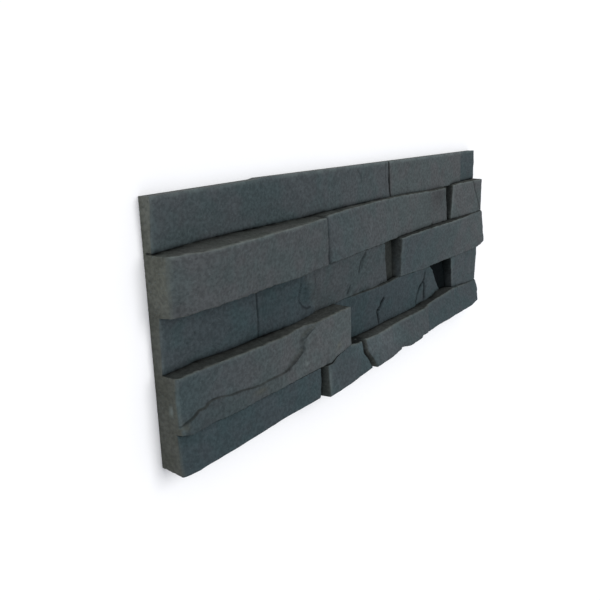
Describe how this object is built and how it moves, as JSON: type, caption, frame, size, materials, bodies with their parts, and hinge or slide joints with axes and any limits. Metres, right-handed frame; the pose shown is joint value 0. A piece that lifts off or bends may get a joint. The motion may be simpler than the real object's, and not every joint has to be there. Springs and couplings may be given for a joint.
{
  "type": "stone veneer panel",
  "caption": "Ledgestone wall veneer panel cast in one piece, with stacked courses of split-faced stones standing out from a thin flat backing",
  "frame": {"origin": "centre of the flat back, which is the face that lies on the floor", "axes": "+X along the courses, +Y towards the first course, +Z out of the decorative face"},
  "size_m": [0.45, 0.15, 0.0303],
  "materials": {
    "cast_concrete": "through-coloured cast concrete in charcoal grey, matt split-stone texture"
  },
  "bodies": {
    "root": {"veneer_panel": "cast_concrete"}
  },
  "joints": []
}
